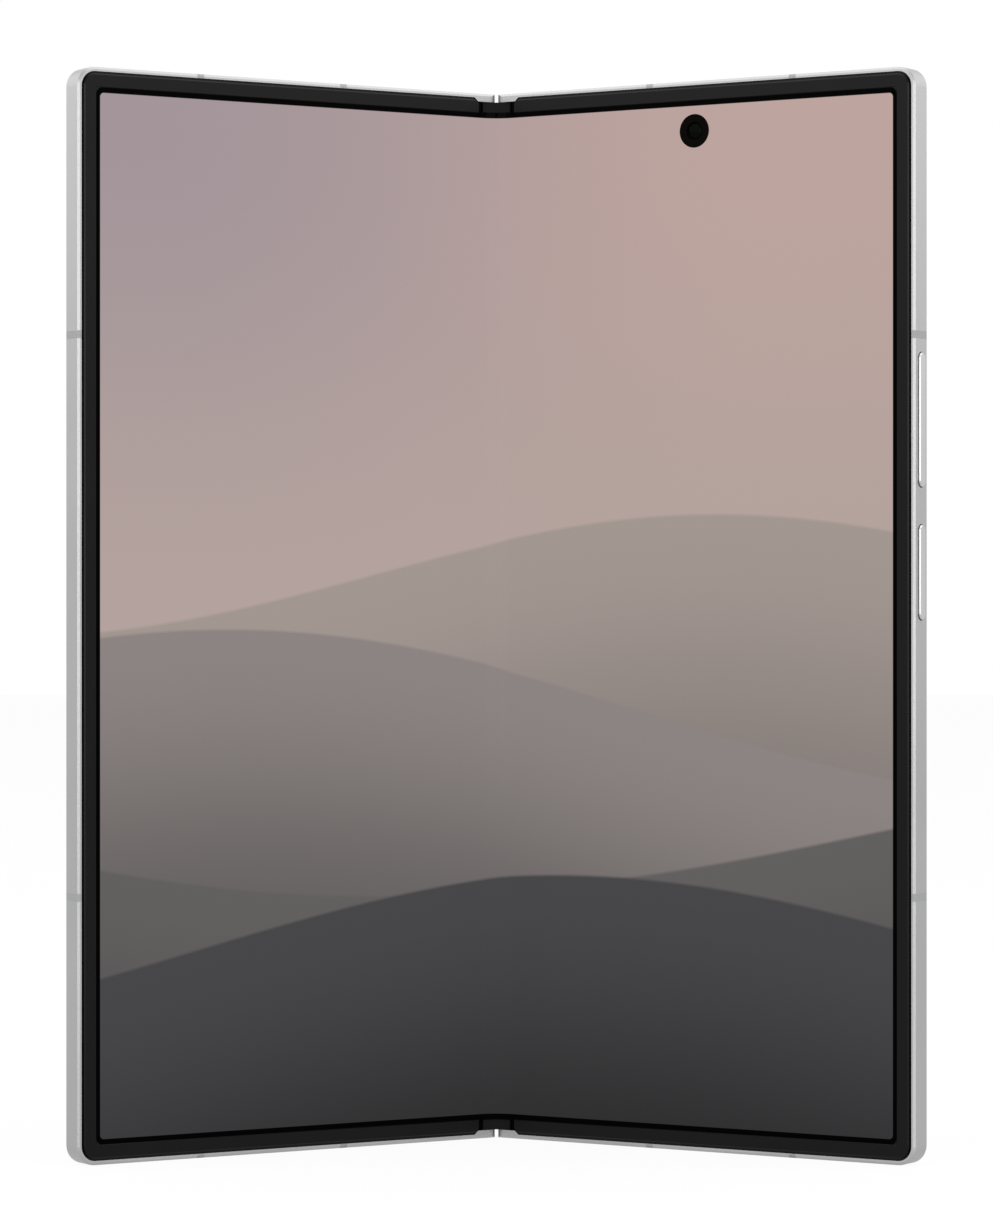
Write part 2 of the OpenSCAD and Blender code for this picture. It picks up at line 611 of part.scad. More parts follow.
module right_rail_hinge_ends() color(silver) at_right() both_ends() hinge_end();
module right_rail_mid_top() color(silver) at_right() difference() {
  end_mid();
  grille(band_x1 + 2);
  translate([port_x, thick / 2, phone_h - wall - 1]) cylinder(r = 0.4, h = wall + 2);
}
module port_hole(w, h, z0, z1) translate([port_x, port_y, z0]) rotate([0, 0, 90])
  linear_extrude(z1 - z0) slot_shape(h, w);
module right_rail_mid_bottom() color(silver) at_right() difference() {
  upside_down() difference() { end_mid(); grille(port_x + port_w / 2 + 2.2); }
  port_hole(port_w, port_h, -1, wall + 1);
  port_hole(port_w + 2 * port_t + 2 * inset_fit, port_h + 2 * port_t + 2 * inset_fit,
    port_z0 - 0.02, wall + 1);
}
module right_rail_corners() color(silver) at_right() both_ends() corner();
module right_rail_side() color(silver) at_right() difference() {
  side();
  key_slot(vol_z, vol_l, 2 * key_fit);
  key_slot(side_z, side_l, 2 * key_fit);
}
module right_bands() color([0.62, 0.63, 0.64]) at_right() bands();
module right_bezel() color(black) at_right() bezel();
module right_mid_frame() color(steel) at_right() difference() {
  mid_frame(right_bay_z1);
  sheet(-1, plate_y + 1) translate([eye_x, phone_h - eye_z]) circle(d = eye_d + 0.4);
  port_hole(port_w + 2 * port_t + 0.1, port_h + 2 * port_t + 0.1, 0, port_z1 + 0.3);
}
module right_screen() color(black) at_right() difference() {
  screen();
  sheet(-1, 1) translate([eye_x, phone_h - eye_z]) circle(d = eye_d);
}
module right_wing_brackets() color(steel) at_right() both_ends() wing_bracket();
module inner_camera() color([0.04, 0.06, 0.06]) at_right() {
  sheet(0.02, 1.4) translate([eye_x, phone_h - eye_z]) circle(d = eye_d - 2 * inset_fit);
  pad(eye_x - 3.4, eye_x + 3.4, plate_y + 0.02, 3, phone_h - eye_z - 3.4, phone_h - eye_z + 3.4, 0.5);
}
module island_shape(m) translate([island_x, island_z]) slot_shape(island_w + 2 * m, island_l + 2 * m);
module at_lenses() for (i = [-1 : 1]) translate([island_x, island_z + i * lens_step]) children();
module rear_glass() color([0.72, 0.73, 0.75]) at_right() difference() {
  back_pane();
  sheet(glass_y - 1, thick + 1) island_shape(inset_fit);
}
module camera_island() color(silver) at_right() difference() {
  translate([island_x, glass_y, island_z]) rotate([-90, 0, 0])
    pill(island_w, island_l, glass_t + island_up, island_c);
  sheet(glass_y - 1, thick + 9) {
    at_lenses() circle(d = ring_d - 2 * ring_w);
    translate([island_x + island_w / 2 - 2.6, island_z + lens_step / 2]) circle(1.3);
  }
}
// turned parts of the three rear cameras, drawn as half sections from the island's face outwards
module turned_lenses(y) at_lenses_3d(y) rotate([-90, 0, 0]) rotate_extrude() children();
module at_lenses_3d(y)
  for (i = [-1 : 1]) translate([island_x, y, island_z + i * lens_step]) children();
module lens_rings() color([0.5, 0.5, 0.52]) at_right() turned_lenses(thick + island_up)
  polygon([[ring_d / 2 - ring_w, 0], [ring_d / 2, 0], [ring_d / 2, ring_up * 0.7],
    [ring_d / 2 - ring_up * 0.3, ring_up], [ring_d / 2 - ring_w * 0.8, ring_up],
    [ring_d / 2 - ring_w, ring_up * 0.8]]);
// each glass has a raised rim round the pane over the lens
module lens_glasses() color([0.05, 0.05, 0.08]) at_right() turned_lenses(thick + island_up - 0.5) {
  r = ring_d / 2 - ring_w - inset_fit;
  polygon([[0, 0], [r, 0], [r, 0.7], [r - 0.2, 0.8], [barrel_d / 2 - 0.6, 0.8],
    [barrel_d / 2 - 0.9, 0.55], [0, 0.55]]);
}
module flash_lens() color([0.95, 0.93, 0.8]) at_right()
  translate([island_x + island_w / 2 - 2.6, thick + 0.4, island_z + lens_step / 2])
    rotate([-90, 0, 0]) rotate_extrude() polygon([[0, 0], [1.3 - inset_fit, 0],
      [1.3 - inset_fit, island_up - 0.5], [1.1, island_up - 0.4], [0, island_up - 0.4]]);
module camera_modules() color([0.16, 0.16, 0.17]) at_right() for (i = [-1 : 1])
  eye_module(island_x, island_z + i * lens_step, thick + island_up - 0.6);
module right_battery() color([0.2, 0.2, 0.21]) at_right() battery(right_bay_z1);
// the main board has a step beside the rear cameras and leaves room for the inner one
module main_board() color([0.1, 0.22, 0.16]) at_right() difference() {
  pad(inner_x0, island_x - eye_base / 2 - 0.3, inside_y, board_y1, island_z0 - part_gap,
    phone_h - eye_z - 6, 1);
  block(island_x - eye_base / 2 - 4, half_w, 0, thick, island_z, phone_h);
}
module shield_can() color([0.7, 0.7, 0.71]) at_right() {
  x1 = island_x - island_w / 2 - 10;
  pad(inner_x0 + 2, x1, board_y1, board_y1 + 1.4, island_z0 + part_gap, island_z - 8, 0.5);
  pad(inner_x0 + 2, x1, board_y1, board_y1 + 1.1, island_z - 8 + part_gap, phone_h - eye_z - 9, 0.5);
}
module loudspeaker() color([0.15, 0.15, 0.16]) at_right()
  pad(port_x + port_w / 2 + part_gap, inner_x1, inside_y, inside_y + inside_t, board_e,
    battery_z0 - 3, 1.4);
module usb_shell() color(silver) at_right() difference() {
  port_hole(port_w + 2 * port_t, port_h + 2 * port_t, port_z0, port_z1);
  port_hole(port_w, port_h, 0, port_z1 - port_t);
}
// contact tongue with a rounded tip on a thicker root
module usb_tongue() color(black) at_right() {
  pad(port_x - 3.35, port_x + 3.35, port_y - 0.35, port_y + 0.35, port_z0 + 0.5, port_z1 - port_t,
    0.6);
  block(port_x - 3.6, port_x + 3.6, port_y - 0.7, port_y + 0.7, port_z1 - 1.8, port_z1 - port_t);
}
// the volume key rocks on a round bar across the middle of its flange
module volume_key() color(silver) at_right() {
  key(vol_z, vol_l, rock_gap);
  sheet(inside_y, key_y + key_w / 2 + 0.15)
    translate([half_w - wall - rock_gap - flange_t / 2, phone_h - vol_z]) circle(flange_t);
}
module side_key() color(silver) at_right() key(side_z, side_l, 0.04);
module key_switches() color([0.3, 0.3, 0.31]) at_right()
  for (z = [vol_z - vol_l / 4, vol_z + vol_l / 4, side_z])
    pad(half_w - wall - 2.4, half_w - wall - 1.2, key_y - 0.7, key_y + 0.8,
      phone_h - z - 1.4, phone_h - z + 1.4, 0.2);

spine_cover();
spine_cap_top();
spine_cap_bottom();
hinge_base_upper();
hinge_base_lower();
sync_case();
sync_pins();
left_sync_arm();
right_sync_arm();
left_idler();
right_idler();
fold_screen();
left_rail_hinge_ends();
left_rail_mids();
left_rail_corner_top();
left_rail_corner_bottom();
left_rail_side();
left_bands();
left_bezel();
left_mid_frame();
left_screen();
left_wing_brackets();
cover_screen();
cover_camera();
left_battery();
sub_board();
earpiece();
sim_tray();
sim_cage();
right_rail_hinge_ends();
right_rail_mid_top();
right_rail_mid_bottom();
right_rail_corners();
right_rail_side();
right_bands();
right_bezel();
right_mid_frame();
right_screen();
right_wing_brackets();
inner_camera();
rear_glass();
camera_island();
lens_rings();
lens_glasses();
flash_lens();
camera_modules();
right_battery();
main_board();
shield_can();
loudspeaker();
usb_shell();
usb_tongue();
volume_key();
side_key();
key_switches();
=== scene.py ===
"""Looks of a book-style foldable smartphone that stands half open on its short edges."""
import json
import math

import bpy
import bmesh
from mathutils import Matrix, Vector


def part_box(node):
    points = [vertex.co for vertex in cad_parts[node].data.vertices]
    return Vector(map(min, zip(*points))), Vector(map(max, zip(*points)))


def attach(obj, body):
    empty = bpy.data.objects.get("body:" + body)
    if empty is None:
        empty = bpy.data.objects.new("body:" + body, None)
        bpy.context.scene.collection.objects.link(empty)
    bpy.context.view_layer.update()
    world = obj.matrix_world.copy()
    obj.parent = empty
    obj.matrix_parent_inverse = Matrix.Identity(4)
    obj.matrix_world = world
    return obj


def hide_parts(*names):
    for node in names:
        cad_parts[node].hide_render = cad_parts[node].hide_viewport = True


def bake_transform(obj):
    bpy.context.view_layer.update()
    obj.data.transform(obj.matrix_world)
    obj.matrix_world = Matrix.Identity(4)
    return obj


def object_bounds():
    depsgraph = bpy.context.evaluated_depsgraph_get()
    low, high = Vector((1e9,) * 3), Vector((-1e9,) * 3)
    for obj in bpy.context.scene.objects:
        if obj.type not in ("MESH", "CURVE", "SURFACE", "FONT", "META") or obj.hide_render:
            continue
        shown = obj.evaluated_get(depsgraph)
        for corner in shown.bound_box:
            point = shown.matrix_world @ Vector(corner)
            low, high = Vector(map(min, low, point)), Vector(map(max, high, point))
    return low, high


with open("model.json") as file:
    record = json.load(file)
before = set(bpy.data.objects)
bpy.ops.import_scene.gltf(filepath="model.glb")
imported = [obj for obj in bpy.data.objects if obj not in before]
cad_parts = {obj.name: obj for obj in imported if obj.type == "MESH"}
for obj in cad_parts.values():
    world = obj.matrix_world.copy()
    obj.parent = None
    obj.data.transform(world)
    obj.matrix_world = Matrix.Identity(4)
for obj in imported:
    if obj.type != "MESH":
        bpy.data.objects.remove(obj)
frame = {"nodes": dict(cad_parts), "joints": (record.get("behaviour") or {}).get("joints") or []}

MM = 0.001
CAD_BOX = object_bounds()
NODES = frame["nodes"]
JOINTS = {joint["name"]: joint for joint in frame["joints"]}

# the fold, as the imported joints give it
FOLD_AXIS = Vector(JOINTS["right_fold"]["pos_m"])
REST_FOLD = -math.radians(JOINTS["right_fold"]["range_deg"][0])
AXIS_DEPTH = 1.4 * MM  # of the fold axes behind the display surface
PHONE_H = CAD_BOX[1].z
MID_Z = PHONE_H / 2

# the folding display
PANEL_T = 0.36 * MM  # thickness of the whole stack
ACTIVE_HALF_W = 68.0 * MM  # from the fold line to the side edge of the lit area
ACTIVE_EDGE = 3.7 * MM  # from the ends of the phone to the lit area
ACTIVE_R = 0.6 * MM  # corners of the lit area
ACTIVE_SOFT = 0.04 * MM  # half the width of the lit area's soft edge
BEND_X = 2 * FOLD_AXIS.x  # where the flat part begins, measured flat
FOLD_STEPS = 24  # segments of each bending strip

# the cover display
COVER_BORDER = 1.9 * MM  # black print round it
COVER_R = 1.4 * MM  # inner corners of that print

FLOOR_GAP = 0.05 * MM  # under the phone, so that no two faces share one place
WELD = 1e-7  # points nearer than this, in metres, become one
CAD_WELD = 1e-6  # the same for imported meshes, whose points are rounded
FLAT_WITHIN = 1e-5  # how far, in metres, a seal face may lie off its depth
SMOOTH_BELOW = math.radians(30)  # edges with a smaller angle are shaded smooth

# small pieces, in millimetres
SEAL_DEPTH = 0.26  # of the seal in the gap round the bezel, behind the display surface
SEAL_LIFT = 0.01  # of the dark strip of painted shade off the seal it lies on
SEAL_T = 0.04  # thickness of the strip
FILLET_R = 0.9  # in the inner corners of the bezel
FILLET_LAP = 0.06  # of a fillet into the bezel
FILLET_T = 0.16  # thickness
BEZEL_EDGE = 2.94  # from the outer edge of the phone to the inner edge of the bezel
# lens radius and depth of the well: wide, main and tele camera, from the lowest up
REAR_LENSES = [(1.7, 1.0), (2.4, 1.2), (1.4, 1.5)]
MODULE_HALF_W = 6.5  # of the square housing of each rear camera
SMALL_EYES = {"inner_camera": 2.37, "cover_camera": 1.97}  # radius of their windows
SMALL_HOUSING = ((-3, -3, -3), (3, 3, -1.4))  # lowest and highest corner, from the window
PRINT_LAP = 0.12  # of the black print round the hole in the display over the hole's edge
FLASH_RING = 0.2  # from ring to ring of the flash lens
CONTACT_PITCH = 0.5  # between the contacts of the charging port
CONTACT_W = 0.25
CONTACT_T = 0.04
CONTACT_Y = 0.36  # from the middle of the tongue to the middle of a contact
CONTACT_COUNT = 12  # on each face
RAIL_T = 1.7  # of the top and bottom rails, which the sound slots go through
SLOT_Y = 2.0  # of the middle of the sound slots, behind the display surface
TOP_SLOTS_X = 3.05  # from the inner end of the top rail to the middle of its slots
PORT_SLOTS_X = 3.5  # from the side of the port to the middle of the slots beside it
RAIL_MESH = (5, 2)
EAR_MESH = (8.9, 0.62)
EAR_DROP = 2.6  # from the top of the phone to the middle of the speech slot
MESH_GAP = 0.1  # from the inner face of a rail to the mesh
WIRE = 0.07  # thickness of a wire of the mesh


def flat_box(name, side):
    """Lowest and highest corner of a CAD node on its half drawn flat."""
    back = half_matrix(side).inverted()
    spots = [back @ vertex.co for vertex in NODES[name].data.vertices]
    return (Vector([min(spot[axis] for spot in spots) for axis in range(3)]),
            Vector([max(spot[axis] for spot in spots) for axis in range(3)]))


def half_matrix(side):
    """From one half drawn flat to its place at rest.

    Flat, X points out from the fold and Y back from the display."""
    swing = (Matrix.Translation((FOLD_AXIS.x, FOLD_AXIS.y, 0)) @ Matrix.Rotation(-REST_FOLD, 4, "Z")
             @ Matrix.Translation((-FOLD_AXIS.x, -AXIS_DEPTH, 0)))
    return swing if side > 0 else Matrix.Scale(-1, 4, (1, 0, 0)) @ swing


# ---- camera, lamps and stage ----

CAMERA_Y = -0.69109  # metres in front of the spine
CAMERA_LENS = 136.2  # focal length in millimetres


def place_camera():
    """The photograph's view: straight on, level with the middle of the phone."""
    data = bpy.data.cameras.new("camera")
    data.lens = CAMERA_LENS
    data.clip_start = 0.01
    camera = bpy.data.objects.new("camera", data)
    camera.location = (0, CAMERA_Y, MID_Z)
    camera.rotation_euler = (math.radians(90), 0, 0)
    bpy.context.scene.collection.objects.link(camera)
    bpy.context.scene.camera = camera


def softbox(name, place, size, radiance):
    """A wide lamp that faces the phone and shows the given radiance."""
    data = bpy.data.lights.new(name, "AREA")
    data.shape = "RECTANGLE"
    data.size, data.size_y = size
    data.energy = radiance * math.pi * size[0] * size[1]
    lamp = bpy.data.objects.new(name, data)
    lamp.location = place
    lamp.rotation_euler = (Vector(place) - Vector((0, 0, MID_Z))).to_track_quat("Z", "Y").to_euler()
    lamp.visible_camera = False
    bpy.context.scene.collection.objects.link(lamp)


# ---- materials ----

TONE_PATCH = 22 * MM  # size of the slow changes of tone in a finish
GRAIN_DEPTH = 0.1  # depth of the grain, as a share of its size


def srgb(text):
    """Linear RGBA of an sRGB hex colour."""
    parts = [int(text[i:i + 2], 16) / 255 for i in (1, 3, 5)]
    return tuple(c / 12.92 if c <= 0.04045 else ((c + 0.055) / 1.055) ** 2.4 for c in parts) + (1,)


def add(tree, kind, inputs=None, **settings):
    """Adds a shader node with its settings, its values and its links."""
    made = tree.nodes.new("ShaderNode" + kind)
    for key, value in settings.items():
        setattr(made, key, value)
    for key, value in (inputs or {}).items():
        if isinstance(value, bpy.types.NodeSocket):
            tree.links.new(value, made.inputs[key])
        else:
            made.inputs[key].default_value = value
    return made


def new_material(name):
    """A material whose node tree is still empty."""
    material = bpy.data.materials.new(name)
    material.use_nodes = True
    material.node_tree.nodes.clear()
    return material, material.node_tree


def finish_surface(tree, shader):
    """Makes a shader the look of the material's surface."""
    out = add(tree, "OutputMaterial")
    tree.links.new(shader.outputs[0], out.inputs["Surface"])


def grained(name, colour, roughness, grain_mm, bump, shade=0.04, rough_swing=0.05, **shader):
    """A finish with a fine grain and slow, faint changes of tone and gloss."""
    material, tree = new_material(name)
    place = add(tree, "TexCoord").outputs["Object"]
    grain = add(tree, "TexNoise", {"Vector": place, "Scale": 1 / (grain_mm * MM), "Detail": 3.0})
    slow = add(tree, "TexNoise", {"Vector": place, "Scale": 1 / TONE_PATCH, "Detail": 2.0})
    base = srgb(colour)
    tone = add(tree, "MapRange", {"Value": slow.outputs["Fac"], "From Min": 0.3, "From Max": 0.7,
                                  "To Min": 1 - shade, "To Max": 1 + shade})
    tinted = add(tree, "VectorMath", {0: base[:3], "Scale": tone.outputs["Result"]},
                 operation="SCALE")
    gloss = add(tree, "MapRange", {"Value": slow.outputs["Fac"], "From Min": 0.3, "From Max": 0.7,
                                   "To Min": roughness - rough_swing,
                                   "To Max": roughness + rough_swing})
    relief = add(tree, "Bump", {"Height": grain.outputs["Fac"], "Strength": bump,
                                "Distance": grain_mm * MM * GRAIN_DEPTH})
    surface = add(tree, "BsdfPrincipled", {"Base Color": tinted.outputs["Vector"],
                                           "Roughness": gloss.outputs["Result"],
                                           "Normal": relief.outputs["Normal"], **shader})
    finish_surface(tree, surface)
    return material


def coated(name, colour, specular, film_nm=0):
    """Lens glass; an anti-reflection film of that many nanometres tints its reflections."""
    material, tree = new_material(name)
    surface = add(tree, "BsdfPrincipled", {"Base Color": srgb(colour), "Roughness": 0.06,
                                           "Specular IOR Level": specular,
                                           "Thin Film Thickness": film_nm, "Thin Film IOR": 1.38})
    finish_surface(tree, surface)
    return material


def clear_glass(name):
    """Clear glass that hardly reflects, as a coated window does."""
    material, tree = new_material(name)
    surface = add(tree, "BsdfPrincipled", {"Base Color": (1, 1, 1, 1), "Roughness": 0.0,
                                           "IOR": 1.45, "Transmission Weight": 1.0,
                                           "Specular IOR Level": 0.12})
    finish_surface(tree, surface)
    return material


def lit_display(name, side):
    """Folding display: black glass over a lit panel, with a generic picture of soft dunes."""
    material, tree = new_material(name)
    if side:
        across, up = flat_place(tree, side)
    else:
        own = add(tree, "UVMap", uv_map="display")
        scaled = add(tree, "VectorMath", {0: own.outputs["UV"], 1: (2 * ACTIVE_HALF_W, PHONE_H, 0),
                                          2: (-ACTIVE_HALF_W, -MID_Z, 0)}, operation="MULTIPLY_ADD")
        split = add(tree, "SeparateXYZ", {"Vector": scaled.outputs[0]})
        across, up = split.outputs["X"], split.outputs["Y"]
    picture = dunes(tree, across, up)
    inside = active_area(tree, across, up, ACTIVE_HALF_W, MID_Z - ACTIVE_EDGE, ACTIVE_R)
    shown = add(tree, "Mix", {"Factor": inside, 6: (0, 0, 0, 1), 7: picture}, data_type="RGBA")
    surface = add(tree, "BsdfPrincipled", {"Base Color": srgb("#010101"), "Roughness": 0.1,
                                           "Specular IOR Level": 0.015,
                                           "Emission Color": shown.outputs[2],
                                           "Emission Strength": 1.0})
    finish_surface(tree, surface)
    return material


def flat_place(tree, side):
    """How far a point of a half lies from the fold line and from mid height, measured flat.

    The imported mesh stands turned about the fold, so its place is turned back first."""
    here = add(tree, "TexCoord").outputs["Object"]
    from_axis = add(tree, "VectorMath", {0: here, 1: (side * FOLD_AXIS.x, FOLD_AXIS.y, 0)},
                    operation="SUBTRACT")
    turned_back = add(tree, "Mapping", {"Vector": from_axis.outputs[0],
                                        "Rotation": (0, 0, side * REST_FOLD)})
    flat = add(tree, "VectorMath", {0: turned_back.outputs[0], 1: (side * FOLD_AXIS.x, 0, -MID_Z)},
               operation="ADD")
    split = add(tree, "SeparateXYZ", {"Vector": flat.outputs[0]})
    return split.outputs["X"], split.outputs["Z"]


def active_area(tree, across, up, half_w, half_h, corner):
    """1 inside a rectangle about the middle with small round corners, 0 in the border round it."""
    place = add(tree, "CombineXYZ", {"X": across, "Y": up})
    away = add(tree, "VectorMath", {0: place.outputs[0]}, operation="ABSOLUTE")
    inner = (half_w - corner, half_h - corner, 0)
    past = add(tree, "VectorMath", {0: away.outputs[0], 1: inner}, operation="SUBTRACT")
    over = add(tree, "VectorMath", {0: past.outputs[0], 1: (0, 0, 0)}, operation="MAXIMUM")
    reach = add(tree, "VectorMath", {0: over.outputs[0]}, operation="LENGTH")
    edge = add(tree, "MapRange", {"Value": reach.outputs["Value"],
                                  "From Min": corner - ACTIVE_SOFT,
                                  "From Max": corner + ACTIVE_SOFT, "To Min": 1.0, "To Max": 0.0})
    return edge.outputs["Result"]


def dark_display(name):
    """Cover display, switched off: clear glass, black print round a panel that is a shade paler."""
    material, tree = new_material(name)
    low, high = flat_box("cover_screen", -1)
    across, up = flat_place(tree, -1)
    middle = add(tree, "Math", {0: across, 1: (low.x + high.x) / 2}, operation="ADD")
    inside = active_area(tree, middle.outputs[0], up, (high.x - low.x) / 2 - COVER_BORDER,
                         (high.z - low.z) / 2 - COVER_BORDER, COVER_R)
    tone = add(tree, "Mix", {"Factor": inside, 6: srgb("#020202"), 7: srgb("#0B0C0F")},
               data_type="RGBA")
    surface = add(tree, "BsdfPrincipled", {"Base Color": tone.outputs[2], "Roughness": 0.05,
                                           "Specular IOR Level": 0.35})
    finish_surface(tree, surface)
    return material


# each dune: crest height, swell and its length and shift in mm, colour at the crest and below it
DUNES = [
    (6, 9, 38, 0.6, "#A29690", "#857D7A"),
    (-14, 12, 46, 2.6, "#8C8482", "#646160"),
    (-31, 11, 52, 5.0, "#625F5F", "#434243"),
    (-49, 10, 44, 1.2, "#474648", "#2B2B2C"),
]
SKY_TOP = "#A3959A"
SKY_WARM = "#BDA49E"
SKY_LOW = "#B3A29D"
SKY_ACROSS = (-0.06, 0.05)  # from the top colour to the warm one, metres from the fold line
SKY_DOWN = (0.07, 0.0)  # from there to the low colour, metres above mid height
CREST_SOFT = 0.25 * MM  # half the width of a crest's soft edge
DUNE_DEPTH = 46 * MM  # from a crest down to where its low colour is full


def dunes(tree, across, up):
    """Generic wallpaper: four smooth dunes under a soft sky."""
    warm = add(tree, "MapRange", {"Value": across, "From Min": SKY_ACROSS[0],
                                  "From Max": SKY_ACROSS[1]}, interpolation_type="SMOOTHSTEP")
    sky = add(tree, "Mix", {"Factor": warm.outputs["Result"], 6: srgb(SKY_TOP), 7: srgb(SKY_WARM)},
              data_type="RGBA")
    low = add(tree, "MapRange", {"Value": up, "From Min": SKY_DOWN[0], "From Max": SKY_DOWN[1]},
              interpolation_type="SMOOTHSTEP")
    picture = add(tree, "Mix", {"Factor": low.outputs["Result"], 6: sky.outputs[2],
                                7: srgb(SKY_LOW)}, data_type="RGBA").outputs[2]
    for height, swell, length, shift, crest_colour, low_colour in DUNES:
        phase = add(tree, "Math", {0: across, 1: 1 / (length * MM), 2: shift},
                    operation="MULTIPLY_ADD")
        wave = add(tree, "Math", {0: phase.outputs[0]}, operation="SINE")
        crest = add(tree, "Math", {0: wave.outputs[0], 1: swell * MM, 2: height * MM},
                    operation="MULTIPLY_ADD")
        below = add(tree, "Math", {0: crest.outputs[0], 1: up}, operation="SUBTRACT").outputs[0]
        depth = add(tree, "MapRange", {"Value": below, "From Min": 0.0, "From Max": DUNE_DEPTH},
                    interpolation_type="SMOOTHSTEP")
        shade = add(tree, "Mix", {"Factor": depth.outputs["Result"], 6: srgb(crest_colour),
                                  7: srgb(low_colour)}, data_type="RGBA")
        cover = add(tree, "MapRange", {"Value": below, "From Min": -CREST_SOFT,
                                       "From Max": CREST_SOFT})
        picture = add(tree, "Mix", {"Factor": cover.outputs["Result"], 6: picture,
                                    7: shade.outputs[2]}, data_type="RGBA").outputs[2]
    return picture


# how much of the floor's look is the white ground: to the camera, and in metal and glass
FLOOR_SEEN = 0.85
FLOOR_MIRRORED = 0.66


def pale_floor():
    """Matt pale floor that shows as the white ground and still takes the phone's shadow."""
    material, tree = new_material("floor_pale_matt")
    path = add(tree, "LightPath")
    mirrored = add(tree, "Math", {0: path.outputs["Is Glossy Ray"],
                                  1: path.outputs["Is Transmission Ray"]}, operation="MAXIMUM")
    mirrored = add(tree, "Math", {0: mirrored.outputs[0], 1: FLOOR_MIRRORED}, operation="MULTIPLY")
    seen = add(tree, "Math", {0: path.outputs["Is Camera Ray"], 1: FLOOR_SEEN},
               operation="MULTIPLY")
    share = add(tree, "Math", {0: seen.outputs[0], 1: mirrored.outputs[0]}, operation="MAXIMUM")
    matt = add(tree, "BsdfDiffuse", {"Color": srgb("#ACACAC")})
    white = add(tree, "Emission", {"Color": (1, 1, 1, 1), "Strength": 1.1})
    mixed = add(tree, "MixShader", {0: share.outputs[0], 1: matt.outputs[0], 2: white.outputs[0]})
    finish_surface(tree, mixed)
    return material


def light_the_world():
    """Even studio light, with the white ground seen by the camera, in metal and through glass."""
    world = bpy.data.worlds.new("studio")
    world.use_nodes = True
    tree = world.node_tree
    tree.nodes.clear()
    path = add(tree, "LightPath")
    seen = add(tree, "Math", {0: path.outputs["Is Camera Ray"], 1: path.outputs["Is Glossy Ray"]},
               operation="MAXIMUM")
    seen = add(tree, "Math", {0: seen.outputs[0], 1: path.outputs["Is Transmission Ray"]},
               operation="MAXIMUM")
    soft = add(tree, "Background", {"Color": (1, 1, 1, 1), "Strength": 0.7})
    white = add(tree, "Background", {"Color": (1, 1, 1, 1), "Strength": 1.0})
    mixed = add(tree, "MixShader", {0: seen.outputs[0], 1: soft.outputs[0], 2: white.outputs[0]})
    out = add(tree, "OutputWorld")
    tree.links.new(mixed.outputs[0], out.inputs["Surface"])
    bpy.context.scene.world = world


def lay_floor():
    """A wide floor just under the phone."""
    bpy.ops.mesh.primitive_plane_add(size=8, location=(0, 0, -FLOOR_GAP))
    floor = bpy.context.object
    floor.name = "floor"
    floor.data.materials.append(pale_floor())


# ---- pieces ----

def clear_selection():
    """Leaves edit mode, with nothing selected."""
    if bpy.context.mode != "OBJECT":
        bpy.ops.object.mode_set(mode="OBJECT")
    bpy.ops.object.select_all(action="DESELECT")


def pick_faces(piece, wanted):
    """In edit mode: selects the faces that wanted(face) names.

    In vertex mode the flush goes by the corners, which faces share, and so changes the choice."""
    mesh = bmesh.from_edit_mesh(piece.data)
    bpy.ops.mesh.select_all(action="DESELECT")
    for face in mesh.faces:
        face.select = wanted(face)
    mesh.select_flush_mode()
    bmesh.update_edit_mesh(piece.data)


def fold_strip(side):
    """The bending part of the display: the panel's section spun about the centre of the bend."""
    # of an arc that crosses the fold line squarely and ends flush with the flat panel
    radius = (BEND_X / 2 - (AXIS_DEPTH * math.sin(REST_FOLD) - BEND_X / 2)
              / math.cos(REST_FOLD)) / math.tan(REST_FOLD)
    lo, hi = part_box("fold_screen")
    front = FOLD_AXIS.y - AXIS_DEPTH  # the display surface on the fold line
    clear_selection()
    bpy.ops.mesh.primitive_plane_add(size=1, location=(0, front + PANEL_T / 2, (lo.z + hi.z) / 2),
                                     rotation=(0, math.radians(90), 0))
    piece = bpy.context.object
    piece.name = "screen_fold_right" if side > 0 else "screen_fold_left"
    piece.scale = (hi.z - lo.z, PANEL_T, 1)
    bpy.ops.object.transform_apply(location=True, rotation=True, scale=True)
    bpy.ops.object.mode_set(mode="EDIT")
    bpy.ops.mesh.select_all(action="SELECT")
    bpy.ops.mesh.spin(steps=FOLD_STEPS, angle=side * REST_FOLD, center=(0, front - radius, 0),
                      axis=(0, 0, 1))
    bpy.ops.mesh.select_all(action="SELECT")
    bpy.ops.mesh.remove_doubles(threshold=WELD)
    bpy.ops.mesh.normals_make_consistent(inside=False)
    bpy.ops.object.mode_set(mode="OBJECT")
    bpy.ops.object.shade_smooth_by_angle(angle=SMOOTH_BELOW)

    # its own map runs across the whole display, measured flat
    chart = piece.data.uv_layers.new(name="display")
    for loop in piece.data.loops:
        spot = piece.data.vertices[loop.vertex_index].co
        turn = math.atan2(abs(spot.x), spot.y - (front - radius))
        flat_x = side * BEND_X * turn / REST_FOLD
        chart.data[loop.index].uv = (flat_x / (2 * ACTIVE_HALF_W) + 0.5, spot.z / PHONE_H)
    piece.data.materials.append(DISPLAY_FOLD)
    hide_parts("fold_screen")
    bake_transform(piece)


